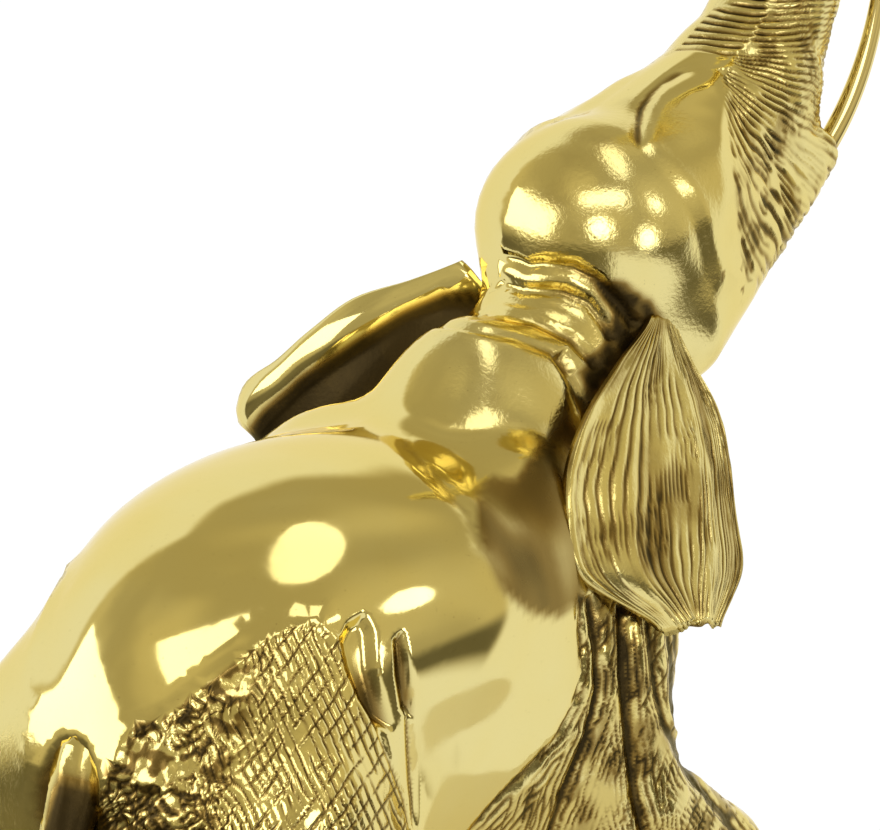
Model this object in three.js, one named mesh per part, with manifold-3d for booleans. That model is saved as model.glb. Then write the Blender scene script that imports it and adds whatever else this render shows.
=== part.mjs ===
// Polished brass elephant with its trunk raised, on a low base. Millimetres, +Z up, head towards +X.
import * as THREE from "three";
import Module from "manifold-3d";

const wasm = await Module();
wasm.setup();

// Base
const BASE_LENGTH = 404;
const BASE_WIDTH = 196;
const BASE_THICKNESS = 14;
const BASE_CORNER = 46;
const BASE_CHAMFER = 3;
const SEAT_GAP = 0.3;

// Body
const SHOULDER_HEIGHT = 390;
const BODY_LENGTH = 300;
const BARREL_WIDTH = 190;

// Legs
const FORELEG_DIAMETER = 60;
const HINDLEG_DIAMETER = 62;
const STEP_HEIGHT = 46;

// Head and trunk
const HEAD_LENGTH = 160;
const HEAD_WIDTH = 98;
const HEAD_PITCH = 17;
const TRUNK_RISE = 190;
const TRUNK_ROOT_DIAMETER = 64;
const TRUNK_TIP_DIAMETER = 24;

// Ears
const EAR_LENGTH = 143;
const EAR_WIDTH = 118;
const EAR_THICKNESS = 5;

// Tusks
const TUSK_LENGTH = 150;
const TUSK_DIAMETER = 10.4;
const TUSK_TIP_DIAMETER = 3.6;
const TUSK_SOCKET_DEPTH = 12;
const TUSK_GAP = 0.3;

// Tail
const TAIL_LENGTH = 190;
const TAIL_DIAMETER = 13;
const TAIL_ROOT_DIAMETER = 25;

// Mesh steps
const BODY_STEP = 15.6;
const LEG_STEP = 22;
const HEAD_STEP = 10.5;

const FEET = BASE_THICKNESS + SEAT_GAP;
const DEG = Math.PI / 180;

const mix = (a, b, t) => a + (b - a) * t;
const clamp = (x, a, b) => Math.min(b, Math.max(a, x));
const add = (a, b) => [a[0] + b[0], a[1] + b[1], a[2] + b[2]];
const sub = (a, b) => [a[0] - b[0], a[1] - b[1], a[2] - b[2]];
const times = (a, s) => [a[0] * s, a[1] * s, a[2] * s];
const dot = (a, b) => a[0] * b[0] + a[1] * b[1] + a[2] * b[2];
const cross = (a, b) => [a[1] * b[2] - a[2] * b[1], a[2] * b[0] - a[0] * b[2], a[0] * b[1] - a[1] * b[0]];
const unit = (a) => times(a, 1 / Math.hypot(...a));

// Places on the body as shares of its length, half width and shoulder height.
const body = (x, y, z) => [x * BODY_LENGTH, (y * BARREL_WIDTH) / 2, FEET + z * SHOULDER_HEIGHT];
const bodySize = (x, y, z) => [x * BODY_LENGTH, (y * BARREL_WIDTH) / 2, z * SHOULDER_HEIGHT];

// Places on the head, in a frame of its own that is pitched up at the nape.
const HEAD_AT = body(0.617, 0, 1.082);
const HC = Math.cos(HEAD_PITCH * DEG);
const HS = Math.sin(HEAD_PITCH * DEG);
const head = (x, y, z) => {
  const lx = x * HEAD_LENGTH;
  const lz = z * HEAD_LENGTH;
  return [HEAD_AT[0] + lx * HC - lz * HS, (y * HEAD_WIDTH) / 2, HEAD_AT[2] + lx * HS + lz * HC];
};
const headSize = (x, y, z) => [x * HEAD_LENGTH, (y * HEAD_WIDTH) / 2, z * HEAD_LENGTH];

// Forms: an ellipsoid pitched about the Y axis, and a tapered round limb.
const ball = (at, size, pitch, blend) => {
  const c = Math.cos(pitch * DEG);
  const s = Math.sin(pitch * DEG);
  const distance = (p) => {
    const x = p[0] - at[0];
    const y = p[1] - at[1];
    const z = p[2] - at[2];
    const u = (x * c + z * s) / size[0];
    const v = y / size[1];
    const w = (-x * s + z * c) / size[2];
    const k0 = Math.hypot(u, v, w);
    const k1 = Math.hypot(u / size[0], v / size[1], w / size[2]);
    return k1 < 1e-9 ? -Math.min(...size) : (k0 * (k0 - 1)) / k1;
  };
  return { distance, blend, at, reach: Math.max(...size) };
};
const limb = (a, b, ra, rb, blend) => {
  const ab = sub(b, a);
  const len2 = dot(ab, ab);
  const distance = (p) => {
    const ap = sub(p, a);
    const h = clamp(dot(ap, ab) / len2, 0, 1);
    return Math.hypot(ap[0] - h * ab[0], ap[1] - h * ab[1], ap[2] - h * ab[2]) - mix(ra, rb, h);
  };
  return { distance, blend, at: times(add(a, b), 0.5), reach: Math.hypot(...ab) / 2 + Math.max(ra, rb) };
};
const blendMin = (a, b, k) => {
  const h = Math.max(k - Math.abs(a - b), 0) / k;
  return Math.min(a, b) - (h * h * k) / 4;
};

// Trunk: a curve that leaves the face, rises and curls back at the tip.
const trunkPoint = (t) => {
  const root = head(0.938, 0, 0.069);
  const bend = 0.25 * Math.sin(Math.PI * Math.min(t, 1) * 0.9);
  const curl = 0.42 * Math.max(t - 0.62, 0) ** 1.5 * 4.2;
  const forward = bend - curl * 0.55 + 0.06 * t;
  const upward = t * 1.02 - 0.62 * Math.max(t - 0.72, 0);
  return [root[0] + TRUNK_RISE * forward, 0, root[2] + TRUNK_RISE * upward];
};
const trunkRadius = (t) => mix(TRUNK_ROOT_DIAMETER / 2, TRUNK_TIP_DIAMETER / 2, clamp(t, 0, 1) ** 0.72);
const TRUNK_LINKS = 12;

const legs = [
  // Right foreleg, stepping forward
  [
    body(0.31, -0.42, 0.66),
    body(0.36, -0.62, 0.49),
    body(0.62, -0.66, 0.34),
    add(body(0.66, -0.66, 0.12), [0, 0, STEP_HEIGHT * 0.8]),
    add(body(0.64, -0.66, -0.02), [0, 0, STEP_HEIGHT]),
  ],
  // Left foreleg
  [
    body(0.22, 0.45, 0.68),
    body(0.25, 0.58, 0.45),
    body(0.27, 0.58, 0.26),
    body(0.25, 0.58, 0.1),
    body(0.265, 0.58, -0.02),
  ],
  // Right hind leg
  [
    body(-0.42, -0.54, 0.66),
    body(-0.37, -0.6, 0.44),
    body(-0.46, -0.6, 0.24),
    body(-0.47, -0.6, 0.1),
    body(-0.45, -0.6, -0.02),
  ],
  // Left hind leg
  [
    body(-0.42, 0.46, 0.66),
    body(-0.41, 0.6, 0.44),
    body(-0.52, 0.6, 0.24),
    body(-0.53, 0.6, 0.1),
    body(-0.51, 0.6, -0.02),
  ],
];
const LEG_TAPER = [1.4, 1.18, 0.97, 0.86, 1.06];

function elephantForms() {
  const forms = [
    ball(body(-0.059, 0, 0.787), bodySize(0.371, 0.975, 0.163), 0, 1),
    ball(body(-0.319, 0, 0.689), bodySize(0.277, 0.607, 0.202), 22, 50),
    ball(body(0.307, 0, 0.696), bodySize(0.294, 0.89, 0.158), 0, 50),
    ball(body(0.309, 0, 0.887), bodySize(0.138, 0.424, 0.138), 9, 40),
    ball(body(-0.04, 0, 0.62), bodySize(0.33, 0.84, 0.16), 0, 40),
    limb(body(0.29, 0, 0.754), body(0.55, 0, 0.957), 0.587 * BARREL_WIDTH * 0.5, 0.46 * BARREL_WIDTH * 0.5, 30),
    ball(body(0.155, -0.54, 0.827), bodySize(0.1, 0.25, 0.093), -30, 24),
    ball(body(0.155, 0.54, 0.827), bodySize(0.1, 0.25, 0.093), -30, 24),
    ball(body(-0.367, -0.48, 0.499), bodySize(0.19, 0.42, 0.137), 10, 40),
    ball(body(-0.367, 0.48, 0.499), bodySize(0.19, 0.42, 0.137), 10, 40),
    ball(body(0.224, -0.5, 0.588), bodySize(0.207, 0.3, 0.2), -40, 30),
    // Head
    ball(head(-0.043, 0, 0.004), headSize(0.272, 1.02, 0.289), 22, 16),
    limb(head(0.1, 0, -0.044), head(0.74, 0, -0.006), 0.31 * HEAD_LENGTH, 0.242 * HEAD_LENGTH, 20),
    ball(head(0.258, -0.62, -0.006), headSize(0.22, 0.42, 0.16), 0, 14),
    ball(head(0.258, 0.62, -0.006), headSize(0.22, 0.42, 0.16), 0, 14),
    limb(head(0.1, 0, -0.2), head(0.74, 0, -0.3), 0.2 * HEAD_LENGTH, 0.07 * HEAD_LENGTH, 26),
    limb(head(0.04, -0.5, -0.27), head(0.9, -0.6, -0.2), 0.204 * HEAD_LENGTH, 0.07 * HEAD_LENGTH, 20),
    limb(head(0.04, 0.5, -0.27), head(0.9, 0.6, -0.2), 0.204 * HEAD_LENGTH, 0.07 * HEAD_LENGTH, 20),
  ];
  for (let i = 0; i < TRUNK_LINKS; i++) {
    const a = i / TRUNK_LINKS;
    const b = (i + 1) / TRUNK_LINKS;
    forms.push(limb(trunkPoint(a), trunkPoint(b), trunkRadius(a), trunkRadius(b), i === 0 ? 20 : 6));
  }
  legs.forEach((joints, n) => {
    const r = (n < 2 ? FORELEG_DIAMETER : HINDLEG_DIAMETER) / 2;
    for (let i = 0; i + 1 < joints.length; i++) {
      forms.push(limb(joints[i], joints[i + 1], r * LEG_TAPER[i], r * LEG_TAPER[i + 1], i === 0 ? 34 : 8));
    }
  });
  return forms;
}

const FORMS = elephantForms();
const elephantField = (p) => {
  let d = FORMS[0].distance(p);
  for (let i = 1; i < FORMS.length; i++) d = blendMin(d, FORMS[i].distance(p), FORMS[i].blend);
  return d;
};

// A grid line list whose step changes at the given marks.
function lines(from, to, stepAt) {
  const out = [from];
  while (out[out.length - 1] < to) {
    const last = out[out.length - 1];
    out.push(last + stepAt(last));
  }
  return out;
}

// Closed surface of a field: one vertex in each grid cell that the surface crosses, then drawn onto the surface.
function skin(field, xs, ys, zs) {
  const [nx, ny, nz] = [xs.length, ys.length, zs.length];
  const at = (i, j, k) => (k * ny + j) * nx + i;
  const value = new Float64Array(nx * ny * nz);
  for (let k = 0; k < nz; k++)
    for (let j = 0; j < ny; j++)
      for (let i = 0; i < nx; i++) value[at(i, j, k)] = field([xs[i], ys[j], zs[k]]);
  const index = new Map();
  const points = [];
  const corners = [0, 1, 2, 3, 4, 5, 6, 7].map((c) => [c & 1, (c >> 1) & 1, c >> 2]);
  const edges = [];
  for (let a = 0; a < 8; a++) for (const bit of [1, 2, 4]) if (!(a & bit)) edges.push([a, a | bit]);
  for (let k = 0; k + 1 < nz; k++)
    for (let j = 0; j + 1 < ny; j++)
      for (let i = 0; i + 1 < nx; i++) {
        const v = corners.map(([a, b, c]) => value[at(i + a, j + b, k + c)]);
        const inside = v.filter((x) => x < 0).length;
        if (inside === 0 || inside === 8) continue;
        let sum = [0, 0, 0];
        let n = 0;
        for (const [a, b] of edges) {
          if (v[a] < 0 === v[b] < 0) continue;
          const t = v[a] / (v[a] - v[b]);
          const pa = [xs[i + corners[a][0]], ys[j + corners[a][1]], zs[k + corners[a][2]]];
          const pb = [xs[i + corners[b][0]], ys[j + corners[b][1]], zs[k + corners[b][2]]];
          sum = add(sum, [mix(pa[0], pb[0], t), mix(pa[1], pb[1], t), mix(pa[2], pb[2], t)]);
          n++;
        }
        index.set(at(i, j, k), points.length);
        points.push(times(sum, 1 / n));
      }
  const quads = [];
  const quad = (a, b, c, d, flip) => quads.push(flip ? [a, d, c, b] : [a, b, c, d]);
  for (let k = 1; k + 1 < nz; k++)
    for (let j = 1; j + 1 < ny; j++)
      for (let i = 1; i + 1 < nx; i++) {
        const here = value[at(i, j, k)] < 0;
        const cell = (a, b, c) => index.get(at(i + a, j + b, k + c));
        const last = cell(0, 0, 0);
        if (here !== value[at(i + 1, j, k)] < 0) quad(cell(0, -1, -1), cell(0, 0, -1), last, cell(0, -1, 0), !here);
        if (here !== value[at(i, j + 1, k)] < 0) quad(cell(-1, 0, -1), cell(-1, 0, 0), last, cell(0, 0, -1), !here);
        if (here !== value[at(i, j, k + 1)] < 0) quad(cell(-1, -1, 0), cell(0, -1, 0), last, cell(-1, 0, 0), !here);
      }
  relax(field, points, quads);
  const tris = [];
  for (const [a, b, c, d] of quads) {
    const ac = Math.hypot(...sub(points[a], points[c]));
    const bd = Math.hypot(...sub(points[b], points[d]));
    if (ac <= bd) tris.push(a, b, c, a, c, d);
    else tris.push(a, b, d, b, c, d);
  }
  return solid(points, tris);
}

const RELAX_ROUNDS = 4;
function relax(field, points, quads) {
  const near = points.map(() => new Set());
  for (const q of quads)
    q.forEach((a, n) => {
      near[a].add(q[(n + 1) % 4]);
      near[a].add(q[(n + 3) % 4]);
    });
  for (let round = 0; round < RELAX_ROUNDS; round++) {
    const moved = points.map((p, n) => {
      let sum = [0, 0, 0];
      for (const m of near[n]) sum = add(sum, points[m]);
      return add(times(p, 0.4), times(sum, 0.6 / near[n].size));
    });
    moved.forEach((p, n) => {
      points[n] = onto(field, p);
    });
  }
}

function onto(field, start) {
  let p = start;
  for (let step = 0; step < 4; step++) {
    const d = field(p);
    const e = 0.2;
    const g = [
      field(add(p, [e, 0, 0])) - field(add(p, [-e, 0, 0])),
      field(add(p, [0, e, 0])) - field(add(p, [0, -e, 0])),
      field(add(p, [0, 0, e])) - field(add(p, [0, 0, -e])),
    ];
    const size2 = dot(g, g) / (4 * e * e);
    if (size2 < 0.05) break;
    p = sub(p, times(g, clamp(d / size2, -6, 6) / (2 * e)));
  }
  return p;
}

function solid(points, tris) {
  const mesh = new wasm.Mesh({
    numProp: 3,
    vertProperties: Float32Array.from(points.flat()),
    triVerts: Uint32Array.from(tris),
  });
  return new wasm.Manifold(mesh);
}

// Thin curved leaf between two faces: front(u, v) gives the middle surface, depth(u, v) its thickness.
function leaf(middle, depth, across, along) {
  const points = [];
  const tris = [];
  const normal = (u, v) => {
    const e = 0.01;
    const du = sub(middle(u + e, v), middle(u - e, v));
    const dv = sub(middle(u, v + e), middle(u, v - e));
    return unit(cross(du, dv));
  };
  for (const side of [1, -1])
    for (let j = 0; j <= along; j++)
      for (let i = 0; i <= across; i++) {
        const u = -1 + (2 * i) / across;
        const v = j / along;
        points.push(add(middle(u, v), times(normal(u, v), (side * depth(u, v)) / 2)));
      }
  const row = across + 1;
  const half = row * (along + 1);
  const id = (i, j, back) => (back ? half : 0) + j * row + i;
  for (let j = 0; j < along; j++)
    for (let i = 0; i < across; i++) {
      tris.push(id(i, j, 0), id(i + 1, j, 0), id(i + 1, j + 1, 0));
      tris.push(id(i, j, 0), id(i + 1, j + 1, 0), id(i, j + 1, 0));
      tris.push(id(i, j, 1), id(i + 1, j + 1, 1), id(i + 1, j, 1));
      tris.push(id(i, j, 1), id(i, j + 1, 1), id(i + 1, j + 1, 1));
    }
  const wall = (a, b) => tris.push(b, a, a + half, b, a + half, b + half);
  for (let i = 0; i < across; i++) {
    wall(id(i, 0, 0), id(i + 1, 0, 0));
    wall(id(i + 1, along, 0), id(i, along, 0));
  }
  for (let j = 0; j < along; j++) {
    wall(id(across, j, 0), id(across, j + 1, 0));
    wall(id(0, j + 1, 0), id(0, j, 0));
  }
  return solid(points, tris);
}

// Smooth curve through evenly spaced values.
function profile(values, t) {
  const n = values.length - 1;
  const s = clamp(t, 0, 1) * n;
  const i = Math.min(Math.floor(s), n - 1);
  const f = s - i;
  const a = values[Math.max(i - 1, 0)];
  const b = values[i];
  const c = values[i + 1];
  const d = values[Math.min(i + 2, n)];
  return b + 0.5 * f * (c - a + f * (2 * a - 5 * b + 4 * c - d + f * (3 * (b - c) + d - a)));
}

// Ear edges to each side of the middle line, as shares of the width, from the root to the bottom.
const EAR_WIDE_SIDE = [0.08, 0.33, 0.56, 0.7, 0.72, 0.62, 0.15];
const EAR_NARROW_SIDE = [0.05, 0.12, 0.225, 0.255, 0.275, 0.32, 0.2];

function earShape(root, way, wide, bulge, flute, narrow) {
  const spine = times(unit(way), EAR_LENGTH);
  const acrossLine = unit(wide);
  const out = unit(cross(spine, acrossLine));
  const middle = (u, v) => {
    const reach = u < 0 ? profile(EAR_WIDE_SIDE, v) : profile(EAR_NARROW_SIDE, v) * narrow;
    const bend = bulge * (Math.sin(Math.PI * v) - 0.9 * u * u * v);
    const ripple = flute * Math.cos(u * 8.2 + 0.6) * v;
    const sideways = times(acrossLine, -u * reach * EAR_WIDTH);
    return add(add(root, times(spine, v)), add(sideways, times(out, bend + ripple)));
  };
  const depth = (u, v) => EAR_THICKNESS * (1.1 - 0.45 * Math.abs(u) - 0.2 * v);
  return leaf(middle, depth, 14, 12);
}

const rightEar = () =>
  earShape(head(-0.126, -0.9, -0.168), [-68.5, -62.5, -116], [-0.92, 0.1, 0.2], -7.4, 1.6, 1);
const leftEar = () =>
  earShape(head(-0.155, 1.05, -0.104), [-43.6, 81, -100], [0.075, -0.66, -0.61], 15.6, 0.6, 1.04);

// Round rod along a curve, closed at both ends.
function rod(curve, radius, turns, rings) {
  const points = [];
  const tris = [];
  for (let j = 0; j <= rings; j++) {
    const t = j / rings;
    const way = unit(sub(curve(t + 0.01), curve(t - 0.01)));
    const side = unit(cross(way, [0, 1, 0.001]));
    const up = cross(side, way);
    for (let i = 0; i < turns; i++) {
      const a = (2 * Math.PI * i) / turns;
      points.push(add(curve(t), add(times(side, radius(t) * Math.cos(a)), times(up, radius(t) * Math.sin(a)))));
    }
  }
  for (let j = 0; j < rings; j++)
    for (let i = 0; i < turns; i++) {
      const a = j * turns + i;
      const b = j * turns + ((i + 1) % turns);
      tris.push(a, b, b + turns, a, b + turns, a + turns);
    }
  const first = points.push(curve(0)) - 1;
  const last = points.push(curve(1)) - 1;
  for (let i = 0; i < turns; i++) {
    const n = (i + 1) % turns;
    tris.push(first, n, i, last, rings * turns + i, rings * turns + n);
  }
  const made = solid(points, tris);
  return made.volume() < 0 ? solid(points, tris.reverse()) : made;
}

const tuskCurve = (side) => (t) => {
  const start = head(0.9, side * 0.62, -0.22);
  const s = t * TUSK_LENGTH;
  const rise = 42 * DEG + 0.45 * t;
  return [start[0] + s * Math.cos(rise), start[1] + side * s * (0.16 - 0.18 * t), start[2] + s * Math.sin(rise)];
};
const tuskRadius = (t) => mix(TUSK_DIAMETER, TUSK_TIP_DIAMETER, clamp(t, 0, 1) ** 1.5) / 2;
const tusk = (side) => rod(tuskCurve(side), tuskRadius, 12, 14);
const socket = (side) => {
  const share = (TUSK_SOCKET_DEPTH * 3) / TUSK_LENGTH;
  const curve = tuskCurve(side);
  return rod((t) => curve(t * share - TUSK_GAP / TUSK_LENGTH), (t) => tuskRadius(t * share) + TUSK_GAP, 12, 4);
};

const tail = () => {
  const root = body(-0.545, 0, 0.73);
  const curve = (t) => [
    root[0] - 30 * Math.sin(Math.PI * Math.min(t * 1.4, 1)) - 6 * t,
    -10 * Math.sin(3 * t),
    root[2] - TAIL_LENGTH * (t - 0.06 * Math.sin(Math.PI * t)),
  ];
  const swell = (TAIL_ROOT_DIAMETER - TAIL_DIAMETER) / 2;
  const tuft = (t) => 30 * Math.max(t - 0.82, 0) * (1 - t);
  const radius = (t) => (TAIL_DIAMETER / 2) * (1.1 - 0.6 * t + tuft(t)) + swell * clamp(1 - t / 0.45, 0, 1) ** 1.3;
  return rod(curve, radius, 10, 14);
};

function basePlate() {
  const outline = (inset, z) => {
    const ring = [];
    const hx = BASE_LENGTH / 2 - inset;
    const hy = BASE_WIDTH / 2 - inset;
    const r = Math.min(BASE_CORNER - inset, hx, hy);
    for (let q = 0; q < 4; q++)
      for (let i = 0; i <= 8; i++) {
        const a = (q + i / 8) * 90 * DEG;
        const sx = q === 0 || q === 3 ? 1 : -1;
        const sy = q < 2 ? 1 : -1;
        ring.push([sx * (hx - r) + r * Math.cos(a), sy * (hy - r) + r * Math.sin(a), z]);
      }
    return ring;
  };
  const rings = [
    outline(0, 0),
    outline(0, BASE_THICKNESS - BASE_CHAMFER),
    outline(BASE_CHAMFER, BASE_THICKNESS),
  ];
  const n = rings[0].length;
  const points = rings.flat();
  const tris = [];
  for (let j = 0; j < 2; j++)
    for (let i = 0; i < n; i++) {
      const a = j * n + i;
      const b = j * n + ((i + 1) % n);
      tris.push(a, b, b + n, a, b + n, a + n);
    }
  const low = points.push([0, 0, 0]) - 1;
  const high = points.push([0, 0, BASE_THICKNESS]) - 1;
  for (let i = 0; i < n; i++) {
    const next = (i + 1) % n;
    tris.push(low, next, i, high, 2 * n + i, 2 * n + next);
  }
  return solid(points, tris);
}

const low = (n) => Math.min(...FORMS.map((f) => f.at[n] - f.reach)) - 1.5 * LEG_STEP;
const high = (n) => Math.max(...FORMS.map((f) => f.at[n] + f.reach)) + 1.5 * LEG_STEP;
const xs = lines(low(0), high(0), (x) => (x > HEAD_AT[0] - 30 ? HEAD_STEP : BODY_STEP));
const ys = lines(low(1), high(1), () => BODY_STEP * 0.86);
const isLegs = (z) => z < FEET + 0.38 * SHOULDER_HEIGHT;
const isHead = (z) => z > FEET + 0.98 * SHOULDER_HEIGHT;
const zs = lines(low(2), high(2), (z) => (isLegs(z) ? LEG_STEP : isHead(z) ? HEAD_STEP : BODY_STEP));

// A block below a level, from x = from onwards, that leaves the soles flat.
function soleCut(from, level) {
  const box = new THREE.BoxGeometry(2 * SHOULDER_HEIGHT, 2 * BARREL_WIDTH, SHOULDER_HEIGHT);
  const right = from > 0 ? -BARREL_WIDTH : 0;
  box.translate(from + SHOULDER_HEIGHT, right, level - SHOULDER_HEIGHT / 2);
  const flat = box.toNonIndexed().getAttribute("position").array;
  const points = [];
  const tris = [];
  for (let i = 0; i < flat.length; i += 3) {
    const p = [flat[i], flat[i + 1], flat[i + 2]];
    let n = points.findIndex((q) => Math.hypot(...sub(p, q)) < 0.01);
    if (n < 0) n = points.push(p) - 1;
    tris.push(n);
  }
  return solid(points, tris);
}

let cast = skin(elephantField, xs, ys, zs);
for (const part of [rightEar(), leftEar(), tail()]) cast = cast.add(part);
cast = cast.subtract(soleCut(legs[0][4][0] - FORELEG_DIAMETER, FEET + STEP_HEIGHT)).subtract(soleCut(low(0), FEET));
cast = cast.subtract(socket(-1)).subtract(socket(1)).simplify(0.06);

const brass = new THREE.MeshStandardMaterial({ color: 0xc8a24a, roughness: 0.2, metalness: 1 });
const group = new THREE.Group();
function node(name, made) {
  const m = made.getMesh();
  const geometry = new THREE.BufferGeometry();
  geometry.setAttribute("position", new THREE.BufferAttribute(m.vertProperties, 3));
  geometry.setIndex(new THREE.BufferAttribute(m.triVerts, 1));
  geometry.computeVertexNormals();
  const mesh = new THREE.Mesh(geometry, brass);
  mesh.name = name;
  group.add(mesh);
}

node("elephant", cast);
node("right_tusk", tusk(-1));
node("left_tusk", tusk(1));
node("base", basePlate());

export default group;
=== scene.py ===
"""Polished brass elephant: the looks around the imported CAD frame.

Shapes are worked out in millimetres, with +X towards the head, +Y to the elephant's left and +Z up, and turned
into metres when the meshes are made. The hidden side gets the broad relief only.
"""

import math

import bpy
import numpy as np
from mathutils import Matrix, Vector


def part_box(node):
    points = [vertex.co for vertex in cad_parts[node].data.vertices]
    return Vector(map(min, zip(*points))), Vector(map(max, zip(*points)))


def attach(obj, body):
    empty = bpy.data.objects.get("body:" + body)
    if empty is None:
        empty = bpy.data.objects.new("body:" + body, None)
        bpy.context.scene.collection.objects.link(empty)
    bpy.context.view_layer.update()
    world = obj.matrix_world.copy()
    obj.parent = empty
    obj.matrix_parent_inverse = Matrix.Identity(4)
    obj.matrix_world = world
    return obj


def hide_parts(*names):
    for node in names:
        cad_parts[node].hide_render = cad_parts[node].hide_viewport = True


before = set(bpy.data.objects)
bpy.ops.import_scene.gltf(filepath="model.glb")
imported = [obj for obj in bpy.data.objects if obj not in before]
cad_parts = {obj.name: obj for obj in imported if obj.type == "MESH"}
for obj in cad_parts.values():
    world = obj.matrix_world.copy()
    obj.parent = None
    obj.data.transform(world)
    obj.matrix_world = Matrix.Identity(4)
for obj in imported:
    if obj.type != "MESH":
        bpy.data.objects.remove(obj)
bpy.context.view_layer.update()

MM = 0.001

# Sizes of the part, in millimetres, as in the CAD source.
BASE_THICKNESS = 14.0
SEAT_GAP = 0.3
SHOULDER_HEIGHT = 390.0
BODY_LENGTH = 300.0
BARREL_WIDTH = 190.0
FORELEG_DIAMETER = 60.0
HINDLEG_DIAMETER = 62.0
STEP_HEIGHT = 46.0
HEAD_LENGTH = 160.0
HEAD_WIDTH = 98.0
HEAD_PITCH = math.radians(17)
TRUNK_RISE = 190.0
TRUNK_ROOT_DIAMETER = 64.0
TRUNK_TIP_DIAMETER = 24.0
EAR_LENGTH = 143.0
EAR_WIDTH = 118.0
EAR_THICKNESS = 5.0
TUSK_LENGTH = 150.0
TUSK_DIAMETER = 10.4
TUSK_TIP_DIAMETER = 3.6
TAIL_LENGTH = 190.0
TAIL_DIAMETER = 13.0
TAIL_ROOT_DIAMETER = 25.0
FEET = BASE_THICKNESS + SEAT_GAP

# The photograph's viewpoint, in the part's frame.
VIEW_AZIMUTH = math.radians(-55)
VIEW_ELEVATION = math.radians(16)
VIEW_DISTANCE = 1500.0
VIEW_TARGET = np.array([29.0, -27.0, 391.0])
PHOTO_WIDTH = 880
PHOTO_HEIGHT = 830
MM_PER_PIXEL = 0.41

# Edge lengths of the elephant's mesh, in millimetres, from its plain far side to its finest carving.
SKIN_STEP = 7.4
FORM_STEP = 4.4
CARVED_STEP = 1.9
FORELEG_STEP = 1.5
FINEST_STEP = 1.0
EDGE_SLACK = 1.35
REFINE_PASSES = 3
LONGEST_MOVE = 6.0

# Columns and rows of the ears, turns and rings of the rods.
RIGHT_EAR_GRID = (120, 60)
LEFT_EAR_GRID = (44, 36)
TAIL_GRID = (22, 64)
TUSK_GRID = (32, 96)


def smooth(a, b, x):
    """0 at a, 1 at b, with a soft start and end."""
    t = np.clip((x - a) / (b - a), 0, 1)
    return t * t * (3 - 2 * t)


def unit(v):
    v = np.asarray(v, float)
    return v / np.linalg.norm(v, axis=-1, keepdims=True)


# Forms of the body, each a share of a named size

def body(x, y, z):
    return np.array([x * BODY_LENGTH, y * BARREL_WIDTH / 2, FEET + z * SHOULDER_HEIGHT])


def body_size(x, y, z):
    return np.array([x * BODY_LENGTH, y * BARREL_WIDTH / 2, z * SHOULDER_HEIGHT])


HEAD_AT = body(0.617, 0, 1.082)
HEAD_COS = math.cos(HEAD_PITCH)
HEAD_SIN = math.sin(HEAD_PITCH)


def head(x, y, z):
    along = x * HEAD_LENGTH
    up = z * HEAD_LENGTH
    return np.array([
        HEAD_AT[0] + along * HEAD_COS - up * HEAD_SIN,
        y * HEAD_WIDTH / 2,
        HEAD_AT[2] + along * HEAD_SIN + up * HEAD_COS,
    ])


def head_size(x, y, z):
    return np.array([x * HEAD_LENGTH, y * HEAD_WIDTH / 2, z * HEAD_LENGTH])


def ball(at, size, pitch, blend):
    """An ellipsoid, leaning back by pitch: its distance function, blend, middle and reach."""
    c, s = math.cos(math.radians(pitch)), math.sin(math.radians(pitch))

    def distance(p):
        x, y, z = (p - at).T
        u = (x * c + z * s) / size[0]
        v = y / size[1]
        w = (-x * s + z * c) / size[2]
        k0 = np.sqrt(u * u + v * v + w * w)
        k1 = np.sqrt((u / size[0]) ** 2 + (v / size[1]) ** 2 + (w / size[2]) ** 2)
        return k0 * (k0 - 1) / np.maximum(k1, 1e-9)

    return distance, blend, at, float(size.max())


def limb(a, b, ra, rb, blend):
    """A rounded, tapered rod from a to b: its distance function, blend, middle and reach."""
    ab = b - a
    length2 = ab @ ab

    def distance(p):
        ap = p - a
        h = np.clip(ap @ ab / length2, 0, 1)
        return np.linalg.norm(ap - h[:, None] * ab, axis=1) - (ra + (rb - ra) * h)

    return distance, blend, (a + b) / 2, math.sqrt(length2) / 2 + max(ra, rb)


TRUNK_LINKS = 12


def trunk_point(t):
    """Middle line of the trunk, t from 0 to 1: it rises, leans forward and curls back at its tip."""
    root = head(0.938, 0, 0.069)
    bend = 0.25 * math.sin(math.pi * min(t, 1) * 0.9)
    curl = 0.42 * max(t - 0.62, 0) ** 1.5 * 4.2
    return np.array([
        root[0] + TRUNK_RISE * (bend - curl * 0.55 + 0.06 * t),
        0,
        root[2] + TRUNK_RISE * (t * 1.02 - 0.62 * max(t - 0.72, 0)),
    ])


def trunk_radius(t):
    taper = min(max(t, 0), 1) ** 0.72
    return TRUNK_ROOT_DIAMETER / 2 + (TRUNK_TIP_DIAMETER - TRUNK_ROOT_DIAMETER) / 2 * taper


def lifted(p, share):
    return p + np.array([0, 0, STEP_HEIGHT * share])


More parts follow.
